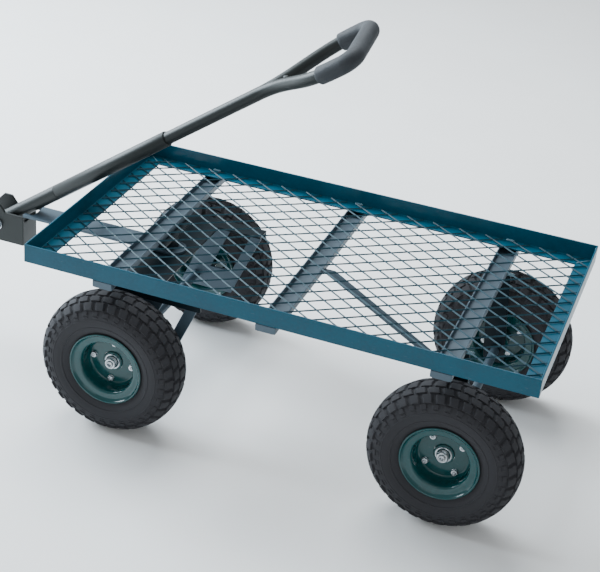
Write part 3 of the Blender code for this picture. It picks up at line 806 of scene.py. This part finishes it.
class CART_OT_wheel_bolts(bpy.types.Operator):
    """Bolts that clamp the rim halves: washer, chamfered nut and a threaded end."""

    bl_idname = "garden_cart.wheel_bolts"
    bl_label = "Wheel Bolts"

    def execute(self, context):
        made = finishes(context)
        for tag in WHEELS:
            side = -1.0 if tag.endswith("l") else 1.0
            for i in range(4):
                node = "wheel_%s_bolt_%d" % (tag, i + 1)
                at = middle(node)
                at[1] = WHEEL_MID[tag][1]
                shell = Shell()
                washer(shell, at, side, 0.0028, 0.0058, 0.0029, 0.0037)
                hex_prism(shell, at, side, 0.0100, 0.0037, 0.0074, 0.0, 0.4 + i)
                thread(shell, at, side, 0.0028, 0.0060, 0.0088)
                hex_prism(shell, at, -side, 0.0100, 0.0031, 0.0077, 0.0, 0.9 + i)
                shell.piece("bolt_%s_%d" % (tag, i + 1), WHEEL_BODY[tag], made["zinc_plate"],
                            "zinc", [node])
        return {"FINISHED"}


class CART_OT_axles(bpy.types.Operator):
    """Axles with threaded ends, their nuts and washers, and the kingpin."""

    bl_idname = "garden_cart.axles"
    bl_label = "Axles"

    def execute(self, context):
        made = finishes(context)
        for node, body in (("front_axle", "front_steering"), ("rear_axle", "deck")):
            low, high = span(node)
            at = (low + high) / 2
            reach = (high[1] - low[1]) / 2
            step = WHEEL_MID["rr"][1] + 0.0065
            shell = Shell()
            a = np.arange(48) * math.tau / 48
            z = np.array([-step, -step + 0.0006, step - 0.0006, step])
            r = np.array([0.0074, 0.0080, 0.0080, 0.0074])
            shell.grid(np.stack([r[:, None] * np.cos(a), np.broadcast_to(z[:, None], (4, 48)),
                                 r[:, None] * np.sin(a)], -1) + at)
            shell.piece(node + "_bar", body, made["slate_paint"], "slate_paint", [node])
            shell = Shell()
            for side in (-1.0, 1.0):
                thread(shell, at, side, 0.0060, step + 0.0002, reach, 0.62, 0.0045)
            shell.piece(node + "_ends", body, made["zinc_plate"], "zinc")
            for tag, side in (("left", -1.0), ("right", 1.0)):
                shell = Shell()
                washer(shell, at, side, 0.0062, 0.0098, step + 0.0003, step + 0.0018)
                hex_prism(shell, at, side, 0.0186, step + 0.0018, step + 0.0100, 0.0058,
                          0.35 if side > 0 else 0.15)
                shell.piece("%s_hex_%s" % (node, tag), body, made["zinc_plate"], "zinc",
                            ["%s_nut_%s" % (node, tag)])
        softened("kingpin", 0.0008, "deck", made["zinc_plate"])
        return {"FINISHED"}


class CART_OT_handle_pin(bpy.types.Operator):
    """Bolt and nut on which the handle turns."""

    bl_idname = "garden_cart.handle_pin"
    bl_label = "Handle Pin"

    def execute(self, context):
        made = finishes(context)
        low, high = span("handle_pin")
        shell = Shell()
        cheek = 0.0248
        a = np.arange(40) * math.tau / 40
        z = np.array([-cheek, cheek])
        shell.grid(np.stack([np.broadcast_to(0.0059 * np.cos(a), (2, 40)),
                             np.broadcast_to(z[:, None], (2, 40)),
                             np.broadcast_to(0.0059 * np.sin(a), (2, 40))], -1) + PIVOT)
        washer(shell, PIVOT, -1.0, 0.0050, 0.0112, cheek, cheek + 0.0014)
        hex_prism(shell, PIVOT, -1.0, 0.0186, cheek + 0.0014, -(low[1] - PIVOT[1]), 0.0, 0.3)
        thread(shell, PIVOT, 1.0, 0.0057, cheek, high[1] - PIVOT[1])
        shell.piece("pin_bolt", "front_steering", made["zinc_plate"], "zinc", ["handle_pin"])
        shell = Shell()
        hex_prism(shell, PIVOT, 1.0, 0.0188, cheek + 0.0003, cheek + 0.0085, 0.0056, 0.2)
        shell.piece("pin_nut", "front_steering", made["zinc_plate"], "zinc",
                    ["handle_pin_nut"])
        return {"FINISHED"}


def on_handle(points, roll=0.0):
    """Points given along the handle (x up its tube, y across) put in place: rolled about
    the tube, leaned back and moved to the pivot."""
    c, s = math.cos(roll), math.sin(roll)
    rolled = points @ np.array([[1, 0, 0], [0, c, -s], [0, s, c]]).T
    c, s = math.cos(HANDLE_LEAN), math.sin(HANDLE_LEAN)
    return rolled @ np.array([[c, 0, -s], [0, 1, 0], [s, 0, c]]).T + PIVOT


def tube_stations(section, steps=48):
    """A section (distance along the handle, radius) turned about the handle's tube."""
    a = np.arange(steps) * math.tau / steps
    x, r = section[:, 0], section[:, 1]
    return np.stack([np.broadcast_to(x[:, None], (len(x), steps)), r[:, None] * np.cos(a),
                     r[:, None] * np.sin(a)], -1)


class CART_OT_handle(bpy.types.Operator):
    """Handle: the frame's foot with softened edges, sleeved tubes, and the loop bent from two
    branches.
    """

    bl_idname = "garden_cart.handle"
    bl_label = "Handle"

    # Along the handle from its pin: end of the foot, end of the sleeve, fork of the loop,
    # start of its straight sides, cross bar.  Then half its width and its corner radius.
    SEAM, TOP, START, SIDE, END = 0.1375, 0.3950, 0.5867, 0.7576, 0.7954
    HALF, CORNER = 0.0657, 0.022
    SLEEVE_RADIUS, TUBE_RADIUS, FOAM_RADIUS = 0.0135, 0.0110, 0.0150
    GRIPPED = 20            # stations of a branch, from the cross bar, that the foam covers

    def branch(self, side, steps=40):
        """Half of the loop: a cubic flare from the tube to the straight side, then a
        quarter circle into the cross bar."""
        reach = (self.SIDE - self.START) * 0.414
        knots = np.array([(self.START, 0), (self.START + reach, 0),
                          (self.SIDE - reach, self.HALF), (self.SIDE, self.HALF)])
        u = np.linspace(0, 1, steps)[:, None]
        flare = ((1 - u) ** 3 * knots[0] + 3 * (1 - u) ** 2 * u * knots[1]
                 + 3 * (1 - u) * u * u * knots[2] + u ** 3 * knots[3])
        a = np.linspace(0, math.pi / 2, 14)
        corner = np.stack([self.END - self.CORNER * (1 - np.sin(a)),
                           self.HALF - self.CORNER * (1 - np.cos(a))], -1)
        path = np.vstack([flare, corner])
        return np.stack([path[:, 0], side * path[:, 1], np.zeros(len(path))], -1)

    def execute(self, context):
        made = finishes(context)
        black = made["black_enamel"]
        big, small, seam, top = self.SLEEVE_RADIUS, self.TUBE_RADIUS, self.SEAM, self.TOP
        softened("handle_foot", 0.0006, "handle", black, 3)
        sleeve = np.array([(seam + 0.0002, small + 0.0004), (seam + 0.0002, big - 0.0006),
                           (seam + 0.0010, big), (top - 0.0016, big), (top - 0.0004, big - 0.0006),
                           (top, big - 0.0016), (top, small + 0.0004)])
        shell = Shell().grid(on_handle(tube_stations(sleeve)), wrap=True)
        shell.piece("handle_sleeve", "handle", black, "black_enamel", ["handle_lower_tube"])

        near, far = self.branch(-1.0), self.branch(1.0)
        bar = np.linspace(near[-1], far[-1], 12)[1:-1]
        loop = np.vstack([near, bar, far[::-1]])
        shell = Shell()
        stem = np.stack([np.linspace(top - 0.060, self.START + 0.012, 30), np.zeros(30),
                         np.zeros(30)], -1)
        normal = (0.0, 0.0, 1.0)
        shell.grid(on_handle(swept(stem, small, 48, normal), HANDLE_ROLL))
        shell.grid(on_handle(swept(loop, small - 0.0001, 48, normal), HANDLE_ROLL))
        t = np.linspace(-1, 1, 40)
        for face in (-1.0, 1.0):
            crotch = np.stack([self.START + 0.050 + 0.014 * (1 - np.abs(t)), 0.012 * t,
                               np.full(40, face * 0.004)], -1)
            ripple = 0.0034 * (0.9 + 0.1 * np.abs(np.sin(t * 16)))
            shell.grid(on_handle(swept(crotch, ripple, 16, normal), HANDLE_ROLL))
        shell.piece("handle_loop", "handle", black, "black_enamel", ["handle_upper_tube"],
                    angle=50.0)

        arm = near[-self.GRIPPED:]
        whole = np.vstack([arm, bar, (arm * (1, -1, 1))[::-1]])
        run = np.concatenate([[0], np.cumsum(np.linalg.norm(np.diff(whole, axis=0), axis=1))])
        total = run[-1]
        even = np.linspace(0, total, 150)
        path = np.stack([np.interp(even, run, whole[:, i]) for i in range(3)], -1)
        edge = np.minimum(even, total - even)
        radius = self.FOAM_RADIUS - 0.0028 * np.clip(1 - edge / 0.004, 0, 1) ** 2
        shell = Shell().grid(on_handle(swept(path, radius, 56, normal), HANDLE_ROLL))
        shell.piece("handle_foam", "handle", made["grip_foam"], "black_foam", ["handle_grip"],
                    angle=50.0)
        return {"FINISHED"}


class CART_OT_studio(bpy.types.Operator):
    """Pale floor, soft lights and the camera."""

    bl_idname = "garden_cart.studio"
    bl_label = "Studio"

    FLOOR_HALF = 9.0
    SKY_COLOUR, SKY_STRENGTH = (0.93, 0.97, 1.0, 1.0), 0.55
    # name, place, point it faces, size, power, tint
    LAMPS = (
        ("sky", (-0.7, 1.2, 2.8), (0.0, 0.0, 0.2), (2.4, 1.4), 120.0, (0.90, 0.96, 1.0)),
        ("window", (-2.9, 0.45, 1.6), (-0.25, 0.0, 0.45), (2.6, 1.5), 270.0, (0.80, 0.91, 1.0)),
        ("fill", (0.6, -3.2, 1.8), (0.1, 0.0, 0.2), (2.0, 1.0), 14.0, (1.0, 1.0, 1.0)),
    )
    CAMERA_AT = (0.7131, -2.0515, 1.4403)
    CAMERA_AHEAD = (-0.26114, 0.83296, -0.48783)
    CAMERA_ROLL = math.radians(5.719)
    CAMERA_LENS = 85.87

    def light(self, name, at, target, size, energy, tint):
        data = bpy.data.lights.new(name, "AREA")
        data.shape = "RECTANGLE"
        data.size, data.size_y = size
        data.energy = energy
        data.color = tint
        lamp = bpy.data.objects.new(name, data)
        lamp.location = at
        lamp.rotation_euler = (Vector(target) - Vector(at)).to_track_quat("-Z", "Y").to_euler()
        bpy.context.scene.collection.objects.link(lamp)

    def execute(self, context):
        half = self.FLOOR_HALF
        mesh = bpy.data.meshes.new("floor")
        mesh.from_pydata([(-half, -half, 0), (half, -half, 0), (half, half, 0), (-half, half, 0)],
                         [], [(0, 1, 2, 3)])
        mesh.materials.append(finishes(context)["studio_floor"])
        floor = bpy.data.objects.new("floor", mesh)
        context.scene.collection.objects.link(floor)

        world = bpy.data.worlds.new("studio")
        world.use_nodes = True
        world.node_tree.nodes["Background"].inputs[0].default_value = self.SKY_COLOUR
        world.node_tree.nodes["Background"].inputs[1].default_value = self.SKY_STRENGTH
        context.scene.world = world
        for lamp in self.LAMPS:
            self.light(*lamp)

        ahead = Vector(self.CAMERA_AHEAD).normalized()
        roll = self.CAMERA_ROLL
        right = ahead.cross(Vector((0, 0, 1))).normalized()
        up = right.cross(ahead)
        turned_right = right * math.cos(roll) + up * math.sin(roll)
        turned_up = up * math.cos(roll) - right * math.sin(roll)
        data = bpy.data.cameras.new("camera")
        data.sensor_width = 36.0
        data.lens = self.CAMERA_LENS
        data.clip_end = 60.0
        camera = bpy.data.objects.new("camera", data)
        turn = Matrix((turned_right, turned_up, -ahead)).transposed()
        camera.matrix_world = Matrix.Translation(self.CAMERA_AT) @ turn.to_4x4()
        context.scene.collection.objects.link(camera)
        context.scene.camera = camera
        return {"FINISHED"}


class CART_PT_panel(bpy.types.Panel):
    """Lists the cart's pieces and their settings."""

    bl_idname = "CART_PT_panel"
    bl_label = "Garden Cart"
    bl_space_type = "VIEW_3D"
    bl_region_type = "UI"
    bl_category = "Garden Cart"

    def draw(self, context):
        for group in (context.scene.cart_sizes, context.scene.cart_finishes):
            box = self.layout.box()
            for label in group.__annotations__:
                box.prop(group, label)
        for operator in OPERATORS:
            self.layout.operator(operator.bl_idname)


OPERATORS = (CART_OT_studio, CART_OT_deck_mesh, CART_OT_deck_frame, CART_OT_welds,
             CART_OT_steering, CART_OT_tyres, CART_OT_rims, CART_OT_wheel_bolts, CART_OT_axles,
             CART_OT_handle_pin, CART_OT_handle)
CLASSES = (CartSizes, CartFinishes) + OPERATORS + (CART_PT_panel,)


def register():
    for cls in CLASSES:
        bpy.utils.register_class(cls)
    bpy.types.Scene.cart_sizes = PointerProperty(type=CartSizes)
    bpy.types.Scene.cart_finishes = PointerProperty(type=CartFinishes)


def unregister():
    del bpy.types.Scene.cart_finishes
    del bpy.types.Scene.cart_sizes
    for cls in reversed(CLASSES):
        bpy.utils.unregister_class(cls)


def main():
    register()
    for operator in OPERATORS:
        group, name = operator.bl_idname.split(".")
        getattr(getattr(bpy.ops, group), name)()


if __name__ == "__main__":
    main()
